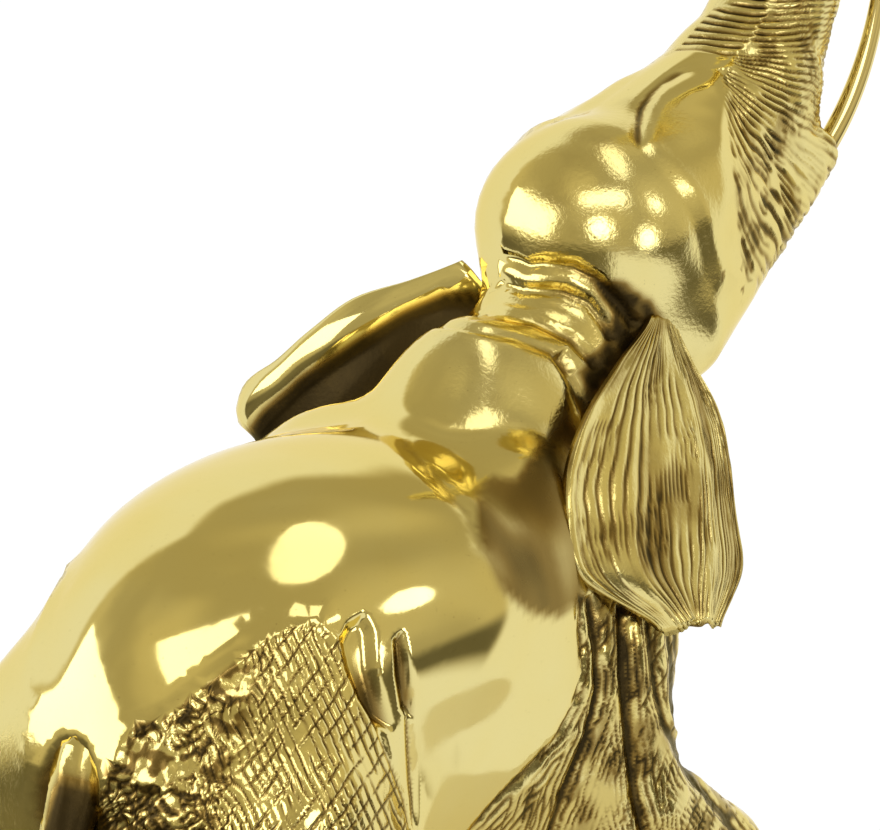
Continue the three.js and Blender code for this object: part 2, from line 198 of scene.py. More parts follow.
# Right foreleg, left foreleg, right hind leg, left hind leg, each from the top joint to the sole.
LEGS = [
    [body(0.31, -0.42, 0.66), body(0.36, -0.62, 0.49), body(0.62, -0.66, 0.34),
     lifted(body(0.66, -0.66, 0.12), 0.8), lifted(body(0.64, -0.66, -0.02), 1)],
    [body(0.22, 0.45, 0.68), body(0.25, 0.58, 0.45), body(0.27, 0.58, 0.26), body(0.25, 0.58, 0.1),
     body(0.265, 0.58, -0.02)],
    [body(-0.42, -0.54, 0.66), body(-0.37, -0.6, 0.44), body(-0.46, -0.6, 0.24), body(-0.47, -0.6, 0.1),
     body(-0.45, -0.6, -0.02)],
    [body(-0.42, 0.46, 0.66), body(-0.41, 0.6, 0.44), body(-0.52, 0.6, 0.24), body(-0.53, 0.6, 0.1),
     body(-0.51, 0.6, -0.02)],
]
LEG_TAPER = [1.4, 1.18, 0.97, 0.86, 1.06]


def elephant_forms():
    half = BARREL_WIDTH / 2
    forms = [
        ball(body(-0.059, 0, 0.787), body_size(0.371, 0.975, 0.163), 0, 1),
        ball(body(-0.319, 0, 0.689), body_size(0.277, 0.607, 0.202), 22, 50),
        ball(body(0.307, 0, 0.696), body_size(0.294, 0.89, 0.158), 0, 50),
        ball(body(0.309, 0, 0.887), body_size(0.138, 0.424, 0.138), 9, 40),
        ball(body(-0.04, 0, 0.62), body_size(0.33, 0.84, 0.16), 0, 40),
        limb(body(0.29, 0, 0.754), body(0.55, 0, 0.957), 0.587 * half, 0.46 * half, 30),
        ball(body(0.155, -0.54, 0.827), body_size(0.1, 0.25, 0.093), -30, 24),
        ball(body(0.155, 0.54, 0.827), body_size(0.1, 0.25, 0.093), -30, 24),
        ball(body(-0.367, -0.48, 0.499), body_size(0.19, 0.42, 0.137), 10, 40),
        ball(body(-0.367, 0.48, 0.499), body_size(0.19, 0.42, 0.137), 10, 40),
        ball(body(0.224, -0.5, 0.588), body_size(0.207, 0.3, 0.2), -40, 30),
        ball(head(-0.043, 0, 0.004), head_size(0.272, 1.02, 0.289), 22, 16),
        limb(head(0.1, 0, -0.044), head(0.74, 0, -0.006), 0.31 * HEAD_LENGTH, 0.242 * HEAD_LENGTH, 20),
        ball(head(0.258, -0.62, -0.006), head_size(0.22, 0.42, 0.16), 0, 14),
        ball(head(0.258, 0.62, -0.006), head_size(0.22, 0.42, 0.16), 0, 14),
        limb(head(0.1, 0, -0.2), head(0.74, 0, -0.3), 0.2 * HEAD_LENGTH, 0.07 * HEAD_LENGTH, 26),
        limb(head(0.04, -0.5, -0.27), head(0.9, -0.6, -0.2), 0.204 * HEAD_LENGTH, 0.07 * HEAD_LENGTH, 20),
        limb(head(0.04, 0.5, -0.27), head(0.9, 0.6, -0.2), 0.204 * HEAD_LENGTH, 0.07 * HEAD_LENGTH, 20),
    ]
    for i in range(TRUNK_LINKS):
        a, b = i / TRUNK_LINKS, (i + 1) / TRUNK_LINKS
        blend = 20 if i == 0 else 6
        forms.append(limb(trunk_point(a), trunk_point(b), trunk_radius(a), trunk_radius(b), blend))
    for n, joints in enumerate(LEGS):
        r = (FORELEG_DIAMETER if n < 2 else HINDLEG_DIAMETER) / 2
        for i in range(len(joints) - 1):
            blend = 34 if i == 0 else 8
            forms.append(limb(joints[i], joints[i + 1], r * LEG_TAPER[i], r * LEG_TAPER[i + 1], blend))
    return forms


FORMS = elephant_forms()


def field(p):
    """Signed distance to the body: the forms melt into each other, each over its own blend."""
    d = FORMS[0][0](p)
    for distance, blend, _, _ in FORMS[1:]:
        other = distance(p)
        h = np.maximum(blend - np.abs(d - other), 0) / blend
        d = np.minimum(d, other) - h * h * blend / 4
    return d


TETRA = np.array([[1, -1, -1], [-1, -1, 1], [-1, 1, -1], [1, 1, 1]], float)


def gradient(p, e=0.3):
    return sum(c * field(p + c * e)[:, None] for c in TETRA) / (4 * e)


def onto(p, steps):
    """Draws points onto the surface of the field."""
    for _ in range(steps):
        g = gradient(p)
        size2 = np.maximum((g * g).sum(1), 0.05)
        p = p - g * np.clip(field(p) / size2, -LONGEST_MOVE, LONGEST_MOVE)[:, None]
    return p


RELAX_PASSES = 3
RELAX_SHARE = 0.6


def net_skin():
    """The field's surface with one vertex in each grid cell that it crosses."""
    reach = [(f[2] - f[3], f[2] + f[3]) for f in FORMS]
    low = np.min([r[0] for r in reach], axis=0) - 2 * SKIN_STEP
    high = np.max([r[1] for r in reach], axis=0) + 2 * SKIN_STEP
    counts = np.ceil((high - low) / SKIN_STEP).astype(int) + 1
    axes = [low[n] + SKIN_STEP * np.arange(counts[n]) for n in range(3)]
    grid = np.stack(np.meshgrid(*axes, indexing="ij"), -1)
    value = np.concatenate([field(slab.reshape(-1, 3)) for slab in grid]).reshape(grid.shape[:3])
    inside = value < 0
    total = np.zeros(tuple(counts - 1) + (3,))
    number = np.zeros(tuple(counts - 1))
    quads = []
    for n in range(3):
        a = [slice(None)] * 3
        b = [slice(None)] * 3
        a[n], b[n] = slice(0, -1), slice(1, None)
        va, vb = value[tuple(a)], value[tuple(b)]
        crossing = inside[tuple(a)] != inside[tuple(b)]
        t = np.where(crossing, va / np.where(crossing, va - vb, 1), 0)
        point = grid[tuple(a)].copy()
        point[..., n] += t * SKIN_STEP
        point *= crossing[..., None]
        m1, m2 = [k for k in range(3) if k != n]
        for s1 in (0, 1):
            for s2 in (0, 1):
                cut = [slice(None)] * 3
                cut[m1] = slice(s1, s1 - 1 if s1 == 0 else None)
                cut[m2] = slice(s2, s2 - 1 if s2 == 0 else None)
                total += point[tuple(cut)]
                number += crossing[tuple(cut)]
        where = np.argwhere(crossing)
        corner = []
        for s1, s2 in ((-1, -1), (0, -1), (0, 0), (-1, 0)):
            c = where.copy()
            c[:, m1] += s1
            c[:, m2] += s2
            corner.append(c)
        quad = np.stack(corner, 1)
        outward = inside[tuple(a)][crossing]
        if n == 1:
            outward = ~outward
        quad[~outward] = quad[~outward][:, ::-1]
        quads.append(quad)
    used = number > 0
    index = np.full(used.shape, -1)
    index[used] = np.arange(used.sum())
    points = total[used] / number[used][:, None]
    quads = np.concatenate(quads)
    quads = index[quads[..., 0], quads[..., 1], quads[..., 2]]
    for _ in range(RELAX_PASSES):
        around = np.zeros_like(points)
        count = np.zeros(len(points))
        for k in range(4):
            np.add.at(around, quads[:, k], points[quads[:, (k + 1) % 4]] + points[quads[:, (k + 3) % 4]])
            np.add.at(count, quads[:, k], 2)
        points = onto(points * (1 - RELAX_SHARE) + around / count[:, None] * RELAX_SHARE, 1)
    points = onto(points, 2)
    tris = np.concatenate([quads[:, [0, 1, 2]], quads[:, [0, 2, 3]]])
    return points, tris


def refine(points, tris, wanted):
    """Splits edges longer than wanted(p) says, and draws the new points onto the surface."""
    for _ in range(REFINE_PASSES):
        edges = np.sort(np.concatenate([tris[:, [0, 1]], tris[:, [1, 2]], tris[:, [2, 0]]]), axis=1)
        pairs, back = np.unique(edges, axis=0, return_inverse=True)
        back = back.reshape(-1)
        middle = (points[pairs[:, 0]] + points[pairs[:, 1]]) / 2
        length = np.linalg.norm(points[pairs[:, 0]] - points[pairs[:, 1]], axis=1)
        split = length > EDGE_SLACK * wanted(middle)
        if not split.any():
            break
        place = np.full(len(pairs), -1)
        place[split] = len(points) + np.arange(split.sum())
        points = np.concatenate([points, onto(middle[split], 2)])
        mids = place[back].reshape(3, -1).T
        count = (mids >= 0).sum(1)
        made = [tris[count == 0]]
        for k in range(3):
            a, b, c = tris[:, k], tris[:, (k + 1) % 3], tris[:, (k + 2) % 3]
            ab, bc, ca = mids[:, k], mids[:, (k + 1) % 3], mids[:, (k + 2) % 3]
            one = (count == 1) & (ab >= 0)
            made.append(np.stack([a, ab, c], 1)[one])
            made.append(np.stack([ab, b, c], 1)[one])
            two = (count == 2) & (ca < 0)
            made.append(np.stack([a, ab, c], 1)[two])
            made.append(np.stack([ab, bc, c], 1)[two])
            made.append(np.stack([ab, b, bc], 1)[two])
        a, b, c = tris.T
        ab, bc, ca = mids.T
        three = count == 3
        for t in ((a, ab, ca), (ab, b, bc), (ca, bc, c), (ab, bc, ca)):
            made.append(np.stack(t, 1)[three])
        tris = np.concatenate(made)
    return points, tris


# Places on the surface as they fall in the photograph's 880 by 830 frame

RIGHT = np.array([math.cos(VIEW_AZIMUTH), math.sin(VIEW_AZIMUTH), 0])
UP = np.array([
    -math.sin(VIEW_AZIMUTH) * math.sin(VIEW_ELEVATION),
    math.cos(VIEW_AZIMUTH) * math.sin(VIEW_ELEVATION),
    math.cos(VIEW_ELEVATION),
])
BACK = np.cross(RIGHT, UP)
EYE = VIEW_TARGET + BACK * VIEW_DISTANCE
FOCAL_PIXELS = VIEW_DISTANCE / MM_PER_PIXEL


def project(p):
    """Where a point falls in the photograph."""
    q = p - EYE
    depth = -(q @ BACK)
    return np.stack([
        PHOTO_WIDTH / 2 + FOCAL_PIXELS * (q @ RIGHT) / depth,
        PHOTO_HEIGHT / 2 - FOCAL_PIXELS * (q @ UP) / depth,
    ], -1)


def chart(p):
    """Where a point, or its mirror image on the right side, falls in the photograph."""
    return project(p * [1, 0, 1] - np.abs(p) * [0, 1, 0])


def line_distance(s, path):
    """Distance from chart points to a path, and how far along it the nearest point lies, from 0 to 1."""
    path = np.asarray(path, float)
    steps = np.linalg.norm(np.diff(path, axis=0), axis=1)
    starts = np.concatenate([[0], np.cumsum(steps)])
    best = np.full(len(s), 1e9)
    along = np.zeros(len(s))
    for n, (a, b) in enumerate(zip(path[:-1], path[1:])):
        ab = b - a
        t = np.clip((s - a) @ ab / (ab @ ab), 0, 1)
        d = np.linalg.norm(s - a - t[:, None] * ab, axis=1)
        nearer = d < best
        best[nearer] = d[nearer]
        along[nearer] = ((starts[n] + t * steps[n]) / starts[-1])[nearer]
    return best, along


def inside_shape(s, shape, soft):
    """1 inside a closed chart outline, 0 outside, soft over that many pixels."""
    shape = np.asarray(shape, float)
    edge, _ = line_distance(s, np.concatenate([shape, shape[:1]]))
    odd = np.zeros(len(s), bool)
    for a, b in zip(shape, np.roll(shape, -1, axis=0)):
        crosses = (a[1] > s[:, 1]) != (b[1] > s[:, 1])
        x = a[0] + (s[:, 1] - a[1]) * (b[0] - a[0]) / (b[1] - a[1] if b[1] != a[1] else 1e-9)
        odd ^= crosses & (s[:, 0] < x)
    return smooth(-soft, soft, np.where(odd, edge, -edge))


def noise(p, scale, seed):
    """Smooth value noise from -1 to 1."""
    q = p / scale
    cell = np.floor(q).astype(np.int64)
    f = q - cell
    f = f * f * (3 - 2 * f)
    out = np.zeros(len(p))
    for corner in range(8):
        o = np.array([corner & 1, corner >> 1 & 1, corner >> 2 & 1])
        c = cell + o
        h = (c[:, 0] * 73856093) ^ (c[:, 1] * 19349663) ^ (c[:, 2] * 83492791) ^ (seed * 2654435761)
        h = (h ^ (h >> 13)) * 1274126177 & 0x7FFFFFFF
        w = np.prod(np.where(o, f, 1 - f), axis=1)
        out += w * ((h & 0xFFFF) / 32767.5 - 1)
    return out


# Carving. Outlines and paths are in pixels of the photograph's frame. A groove is a path, a half width in
# pixels and a depth in millimetres.

FAN_CENTRE = np.array([688.0, 52.0])
TRUNK_RIDGE = [(772, -120), (768, -60), (766, 0), (764, 17), (753, 36), (741, 48), (734, 63), (718, 76)]
# Rows and columns of the edge between the face's fanned lines and the back of the trunk.
TRUNK_BACK_EDGE = [(-120, 772), (0, 766), (17, 764), (36, 753), (48, 741), (63, 734), (76, 722), (200, 735),
                   (300, 748)]
TEMPLE_GROOVE = ([(716, 58), (693, 68), (676, 73), (661, 80), (651, 91), (641, 106), (638, 124), (638, 149),
                  (634, 190)], 6.5, 1.5)
TEMPLE_PILLOW = [(655, 95), (685, 82), (716, 80), (729, 99), (731, 141), (729, 166), (733, 191), (729, 232),
                 (735, 280), (712, 296), (676, 262), (650, 215), (641, 186), (642, 124)]
NECK_CREASES = [
    ([(492, 271), (505, 268), (540, 264), (572, 268), (596, 280), (622, 308), (640, 330)], 8.0, 3.0),
    ([(440, 300), (463, 294), (510, 289), (562, 292), (588, 303), (606, 326), (616, 345)], 7.5, 2.6),
    ([(430, 318), (450, 314), (495, 313), (535, 320), (572, 338), (594, 360), (600, 372)], 7.5, 2.8),
    ([(448, 322), (473, 329), (515, 338), (552, 352), (578, 372)], 6.5, 1.8),
]
LIP_POLISH = [(788, 136), (822, 136), (828, 160), (806, 206), (790, 190), (782, 160)]
TAIL_HOLLOW = [(22, 850), (34, 790), (50, 752), (66, 738), (84, 748), (96, 790), (98, 850)]
FLANK_LEAF = [(350, 624), (364, 616), (372, 632), (374, 668), (383, 704), (389, 726), (376, 722), (360, 698),
              (347, 668), (342, 642)]
FLANK_SLIT = [(396, 640), (402, 634), (408, 660), (413, 700), (413, 716), (404, 708), (398, 676)]
NAPE_PIT = [(430, 262), (470, 258), (494, 270), (478, 288), (440, 304)]
# Outline of a painted reflection of the ear on the shoulder behind it.
EAR_REFLECTION_PATCH = [(474, 488), (492, 474), (515, 478), (540, 444), (566, 416), (584, 440), (584, 600), (560, 618),
               (530, 614), (500, 590), (480, 545)]
EAR_PIT = [(596, 286), (622, 282), (650, 300), (664, 322), (640, 352), (610, 380), (590, 400), (580, 372),
           (606, 340), (612, 316)]
FLANK_FOLDS = [
    ([(374, 716), (388, 756), (404, 800), (416, 850)], 3.4, 1.6),
    ([(408, 690), (410, 750), (417, 850)], 3.2, 1.6),
]
THIGH = [(98, 812), (108, 775), (122, 742), (138, 728), (172, 716), (202, 690), (236, 664), (262, 640),
         (290, 627), (322, 624), (342, 640), (350, 668), (366, 706), (384, 748), (404, 800), (420, 900),
         (470, 1200), (40, 1200), (90, 860)]
THIGH_LEDGE = [(98, 800), (120, 738), (138, 724), (172, 712), (202, 686), (236, 660), (262, 636), (290, 622),
               (326, 620)]
FORELEG = [(578, 596), (720, 600), (720, 700), (684, 752), (760, 830), (900, 1150), (380, 1150), (452, 850),
           (490, 806), (530, 766), (556, 740), (574, 704), (582, 670)]
LEG_CREASES = [
    ([(574, 590), (579, 650), (576, 694), (560, 732), (528, 770), (492, 808), (450, 850)], 5.5, 2.4),
    ([(590, 590), (599, 650), (601, 690), (590, 736), (566, 796), (548, 850)], 5.5, 2.6),
    ([(627, 600), (629, 680), (634, 740), (640, 800), (652, 860)], 8.0, 4.2),
    ([(650, 600), (658, 680), (668, 724), (694, 776), (744, 836)], 6.0, 2.6),
    ([(668, 600), (675, 660), (677, 712), (690, 748), (720, 780)], 5.0, 2.0),
]
SHOULDER_LINES = [
    ([(398, 436), (430, 470), (468, 516), (480, 560)], 7.0, 0.8),
    ([(560, 350), (575, 380), (590, 420)], 7.0, 3.0),
]

# Heights and depths of the relief, in millimetres.
PILLOW_HEIGHT = 2.4
RIDGE_HEIGHT = 0.7
RING_DEPTH = 1.3
FAN_DEPTH = 1.2
SLOT_DEPTH = 1.3
PIT_DEPTH = 0.3
LEDGE_HEIGHT = 1.6
THIGH_HEIGHT = 1.2
THIGH_CUT = 0.7
LEAF_DEPTH = 4.5
SLIT_DEPTH = 3.0
LEG_CUT = 0.6
TAIL_HOLLOW_DEPTH = 2.5

# Distance from line to line, in pixels, but the rings' in millimetres and the fan's turn in radians.
RING_PERIOD = 12
FAN_PERIOD = 6.4
FAN_TURN = 0.064
SLOT_PERIOD = 7.6
THIGH_PERIODS = (9.0, 14.5, 9.0)
LEG_PERIODS = (5.6, 9.4)


def grooves(s, lines, fade=0.06):
    """Depth in millimetres and darkness of a set of soft grooves."""
    depth = np.zeros(len(s))
    dark = np.zeros(len(s))
    for path, width, deep in lines:
        d, t = line_distance(s, path)
        near = np.exp(-(d / width) ** 2) * smooth(0, fade, t) * smooth(1, 1 - fade, t)
        depth = np.maximum(depth, deep * near)
        dark = np.maximum(dark, smooth(0.6, 1.0, near))
    return depth, dark


def stroke(w, period, width):
    """1 on the lines of an even set, 0 between them."""
    away = np.abs(w / period - np.round(w / period)) * period
    return np.exp(-(away / width) ** 2)


def carve_head(p, s, near, skin, dark):
    """Temple, fanned lines of the face, wrinkles across the back of the trunk, pits of the cheek."""
    sx, sy = s.T
    ahead = (p - head(0.05, 0, 0)) @ np.array([HEAD_COS, 0, HEAD_SIN])
    in_head = smooth(-6, 6, ahead) * smooth(395, 415, p[:, 2])
    depth, shade = grooves(s, [TEMPLE_GROOVE], 0.3)
    own_side = np.maximum(smooth(2, -6, p[:, 1]), smooth(16, 26, p[:, 1]))
    in_head = in_head * own_side
    relief = -depth * in_head
    dark += 0.8 * shade * in_head * near
    pillow = inside_shape(s, TEMPLE_PILLOW, 15)
    relief += PILLOW_HEIGHT * pillow * in_head

    fan = s - FAN_CENTRE
    reach = np.linalg.norm(fan, axis=1)
    drift = noise(p, 13, 5)
    turn = np.arctan2(fan[:, 1], np.maximum(fan[:, 0], 1e-3))
    upper = fan[:, 1] < 0
    order = np.where(upper, fan[:, 1] / FAN_PERIOD, turn / FAN_TURN) + 0.3 * drift + 0.08 * noise(p, 5, 6)
    line = stroke(order, 1.0, 0.2) * smooth(-0.75, -0.1, noise(p, 8, 7))
    between = stroke(order + 0.5, 1.0, 0.14) * smooth(90, 150, reach) * smooth(-0.3, 0.2, noise(p, 9, 11))
    line = np.maximum(line, between * 0.8)
    ridge, _ = line_distance(s, TRUNK_RIDGE)
    edge_x = np.interp(sy, *np.array(TRUNK_BACK_EDGE, float).T)
    right_of = smooth(-3, 4, sx - edge_x)
    lower = smooth(345, 285, sy)
    above = smooth(-5, -40, sy)
    rings = stroke(p[:, 2] + 0.25 * p[:, 0] + 2 * noise(p, 20, 63), RING_PERIOD, 3.0)
    relief -= above * RING_DEPTH * rings * in_head
    dark += above * 0.45 * smooth(0.6, 1, rings) * in_head
    fan_zone = (1 - above) * in_head * right_of * lower * (1 - 0.6 * inside_shape(s, LIP_POLISH, 6))
    patchy = 0.6 + 0.4 * smooth(-0.4, 0.5, noise(p, 16, 8))
    relief += fan_zone * near * (0.25 + 0.4 * noise(p, 8, 12) - FAN_DEPTH * line * patchy)
    dark += fan_zone * near * line * patchy * 0.95
    dark += fan_zone * 0.35 * smooth(0.0, 0.7, noise(p, 11, 13) + 0.4 * noise(p, 3, 64))
    skin += fan_zone * 0.35

    slot = sy - 0.16 * (sx - 766) + 2.2 * noise(p, 12, 9)
    slots = stroke(slot, SLOT_PERIOD, 1.6) * smooth(-0.9, -0.3, noise(p * [1, 1, 0.4], 10, 10))
    back_zone = smooth(-12, 4, (p - head(0.68, 0, 0)) @ np.array([HEAD_COS, 0, HEAD_SIN]))
    back_zone = back_zone * (1 - right_of) * smooth(72, 58, sy + 0.28 * (sx - 700))
    # near is divided out here, so that the wrinkles and the roughness run on across the middle of the trunk.
    back_zone = (1 - above) * back_zone * smooth(30, 14, p[:, 1]) / np.maximum(near, 0.01)
    relief += back_zone * near * (0.3 - SLOT_DEPTH * slots)
    dark += back_zone * near * slots
    skin += back_zone * 0.6
    relief += RIDGE_HEIGHT * np.exp(-(ridge / 6) ** 2) * in_head * (sy < 70)

    pits = smooth(0.26, 0.36, noise(p, 1.9, 14) * noise(p, 5.5, 15))
    cheek = smooth(250, 290, sy) * smooth(400, 340, sy) * smooth(670, 690, sx) * in_head * near
    dark += 0.8 * cheek * pits
    relief -= PIT_DEPTH * cheek * pits
    return relief


def carve_neck(p, s, near, skin, dark):
    """Soft rolls of the neck, and darker patches in the pits at the nape and before the ear."""
    zone = smooth(325, 350, p[:, 2]) * smooth(40, 70, p[:, 0]) * smooth(235, 215, p[:, 0])
    depth, shade = grooves(s, NECK_CREASES, 0.05)
    dark += zone * near * shade * (0.5 + 0.3 * noise(p, 9, 17)) * smooth(500, 600, s[:, 0])
    skin += zone * near * 0.45
    # Darker patches in the pits at the nape and before the ear.
    pit_darkening = zone * near * np.maximum(inside_shape(s, EAR_PIT, 9), inside_shape(s, NAPE_PIT, 7))
    dark += pit_darkening * (0.9 + 0.3 * noise(p, 4, 18))
    skin += pit_darkening * 0.8
    return zone * (0.9 * smooth(4, 0, depth) * np.minimum(depth, 1) - depth)


def carve_legs(p, s, near, skin, dark):
    """Hatching and tool marks of the thigh, folds of the flank, strands of the foreleg, the tail's hollow."""
    sx, sy = s.T
    relief = np.zeros(len(p))
    behind = smooth(-35, -60, p[:, 0])
    thigh = inside_shape(s, THIGH, 4) * behind
    neat = smooth(225, 275, sx + 0.25 * (sy - 700))
    wander = (9 * noise(p, 13, 41) + 4 * noise(p, 5, 42)) * (1.15 - neat)
    first, second, third = THIGH_PERIODS
    one = stroke(0.913 * sx - 0.407 * sy + wander, first, 1.0) * smooth(-0.75, -0.2, noise(p, 11, 47))
    two = stroke(0.81 * sx + 0.59 * sy + 1.3 * wander, second, 1.0) * smooth(-0.5, 0.0, noise(p, 8, 43))
    three = stroke(0.35 * sx + 0.94 * sy + 1.5 * wander, third, 1.5) * smooth(0.0, 0.3, noise(p, 9, 44))
    cut = np.maximum(np.maximum(one, two), three * (1 - neat))
    bare = smooth(0.25, 0.5, noise(p, 17, 48)) * (1 - neat)
    cut = cut * (1 - bare)
    facets = (0.9 * noise(p, 8.5, 45) + 0.35 * noise(p, 3.4, 46)) * (1.1 - 0.85 * neat)
    facets += 1.1 * noise(p, 19, 50) * (1 - neat)
    relief += thigh * near * (facets - THIGH_CUT * cut)
    soot = smooth(-0.05, 0.25, noise(p, 3.0, 49) + 0.5 * noise(p, 9, 62))
    dark += thigh * near * (cut + 0.75 * (1 - neat) * soot)
    skin += thigh * (0.35 - 0.1 * neat)
    ledge, _ = line_distance(s, THIGH_LEDGE)
    relief += behind * LEDGE_HEIGHT * np.exp(-(ledge / 9) ** 2)
    relief += behind * THIGH_HEIGHT * thigh

    depth, shade = grooves(s, FLANK_FOLDS, 0.25)
    flank = smooth(20, -10, p[:, 0]) * smooth(-170, -150, p[:, 0])
    leaf = inside_shape(s, FLANK_LEAF, 7)
    slit = inside_shape(s, FLANK_SLIT, 5)
    relief -= flank * (depth + LEAF_DEPTH * leaf + SLIT_DEPTH * slit)
    lower_right = smooth(640, 720, sy + 0.9 * (sx - 360))
    dark += flank * near * (0.6 * shade + 0.75 * slit + 0.85 * leaf * lower_right)

    leg = inside_shape(s, FORELEG, 3) * smooth(-30, -5, p[:, 0]) * smooth(330, 310, p[:, 2])
    depth, shade = grooves(s, LEG_CREASES, 0.02)
    relief -= leg * depth
    dark += leg * near * shade * 0.85
    bend = 3 * noise(p, 14, 51) + noise(p, 5, 55)
    strand = np.min([line_distance(s, path)[0] for path, _, _ in LEG_CREASES], axis=0)
    along, across = LEG_PERIODS
    one = stroke(strand + bend, along, 1.1)
    two = stroke(0.94 * sx + 0.34 * sy + bend, across, 1.0) * smooth(-0.2, 0.3, noise(p, 8, 52))
    cut = np.maximum(one * smooth(-0.7, 0.0, noise(p, 10, 53)), two)
    plain = np.exp(-((sx - 606) / 18) ** 2 - ((sy - 796) / 20) ** 2)
    relief += leg * near * (1 - plain) * (0.4 * noise(p, 8, 54) + 0.2 * noise(p, 3, 57) - LEG_CUT * cut)
    dark += leg * near * (1 - plain) * (cut * 0.85 + 0.4 * smooth(0.0, 0.6, noise(p, 10, 56)))
    skin += leg * (1 - 0.8 * plain) * 0.4

    # The hollow beside the tail is darkened as pitted patina and as painted shade.
    hollow = inside_shape(s, TAIL_HOLLOW, 8) * smooth(-135, -150, p[:, 0])
    relief -= TAIL_HOLLOW_DEPTH * hollow
    dark += 0.75 * hollow
    skin += 0.5 * hollow
    return relief


def carve(p):
    """Relief in millimetres along the normal, and how dark and how rough each point is.

    near is 1 on the side that the photograph shows and 0 on the far side and below the frame.
    """
    s = chart(p)
    near = smooth(14, 2, p[:, 1]) * smooth(885, 845, s[:, 1])
    dark = np.zeros(len(p))
    skin = np.zeros(len(p))
    relief = 0.8 * noise(p, 52, 1) + 0.3 * noise(p, 24, 2) + 0.05 * noise(p, 11, 3)
    relief += carve_head(p, s, near, skin, dark)
    relief += carve_neck(p, s, near, skin, dark)
    relief += carve_legs(p, s, near, skin, dark)
    depth, shade = grooves(s, SHOULDER_LINES)
    shoulder = smooth(300, 330, p[:, 2]) * smooth(-30, 0, p[:, 0]) * smooth(170, 150, p[:, 0])
    relief -= shoulder * depth
    dark += shoulder * 0.3 * shade
    # Painted reflection of the ear on the shoulder behind it: a dark amber patch in the colour.
    painted_ear_reflection = near * inside_shape(s, EAR_REFLECTION_PATCH, 7) * smooth(-40, -20, p[:, 0]) * smooth(180, 200, p[:, 2])
    dark += painted_ear_reflection * (0.62 + 0.25 * noise(p * [1, 1, 0.35], 12, 61))
    skin += 0.1 * painted_ear_reflection
    return relief, np.clip(dark, 0, 1), np.clip(skin, 0, 1)


def skin_detail(p):
    """Edge length wanted at a point of the skin: fine where carving shows from the photograph's viewpoint."""
    s = chart(p)
    sx, sy = s.T
    ahead = (p - head(0.28, 0, 0)) @ np.array([HEAD_COS, 0, HEAD_SIN])
    want = np.full(len(p), SKIN_STEP)
    shown = (p[:, 1] < 16) & (sy > -12) & (sy < 842) & (sx > -12) & (sx < 892)
    shown[shown] = unit(gradient(p[shown])) @ BACK > -0.2
    want[shown | (ahead > -30)] = FORM_STEP
    want[shown & (ahead > -45)] = CARVED_STEP
    face = (sx > 722) & (sy < 335)
    trunk = (sx > 660) & (sy < 72)
    want[shown & (ahead > -10) & (face | trunk)] = FINEST_STEP
    neck = shown & (p[:, 2] > 335) & (p[:, 0] > 60) & (sy < 390)
    want[neck] = np.minimum(want[neck], CARVED_STEP)
    want[shown & (inside_shape(s, THIGH, 3) > 0.5) & (p[:, 0] < -45)] = FINEST_STEP
    want[shown & (inside_shape(s, FORELEG, 3) > 0.5) & (p[:, 0] > -20) & (p[:, 2] < 320)] = FORELEG_STEP
    flank = shown & (sx > 335) & (sx < 425) & (sy > 610) & (p[:, 0] < 10)
    want[flank] = np.minimum(want[flank], CARVED_STEP)
    return want


# Ears

def profile(values, t):
    """A smooth curve through evenly spaced values, at t from 0 to 1."""
    values = np.asarray(values, float)
    last = len(values) - 1
    x = np.clip(t, 0, 1) * last
    i = np.minimum(np.floor(x).astype(int), last - 1)
    f = x - i
    a, b = values[np.maximum(i - 1, 0)], values[i]
    c, d = values[i + 1], values[np.minimum(i + 2, last)]
    return b + 0.5 * f * (c - a + f * (2 * a - 5 * b + 4 * c - d + f * (3 * (b - c) + d - a)))


# Reach of the ear's two sides from root to end, as shares of EAR_WIDTH.
EAR_WIDE_SIDE = [0.08, 0.33, 0.56, 0.7, 0.72, 0.62, 0.15]
EAR_NARROW_SIDE = [0.05, 0.12, 0.225, 0.255, 0.275, 0.32, 0.2]


def ear_surface(root, way, wide, bulge, flute, narrow, round_from):
    """The middle of an ear's leaf, as a function of u across (-1 to 1) and v along (0 to 1).

    way points from the root to the end and wide towards the wide side. The end is round from round_from on,
    and blunt where that is 1.
    """
    spine = unit(way) * EAR_LENGTH
    across = unit(wide)
    out = unit(np.cross(spine, across))

    def middle(u, v):
        past = np.clip((v - round_from) / max(1 - round_from, 1e-6), 0, 1)
        rounding = np.sqrt(1 - 0.97 * past ** 2)
        reach = rounding * np.where(u < 0, profile(EAR_WIDE_SIDE, v), profile(EAR_NARROW_SIDE, v) * narrow)
        bend = bulge * (np.sin(np.pi * v) - 0.9 * u * u * v)
        ripple = flute * np.cos(u * 8.2 + 0.6) * v
        return (root + spine * v[..., None] + across * (-u * reach * EAR_WIDTH)[..., None]
                + out * (bend + ripple)[..., None])

    return middle


RIGHT_EAR = ear_surface(
    head(-0.126, -0.9, -0.168), way=[-68.5, -62.5, -116], wide=[-0.92, 0.1, 0.2],
    bulge=-7.4, flute=1.6, narrow=1, round_from=1)
LEFT_EAR = ear_surface(
    head(-0.155, 1.05, -0.104), way=[-43.6, 81, -100], wide=[0.075, -0.66, -0.61],
    bulge=15.6, flute=0.6, narrow=1.04, round_from=0.86)


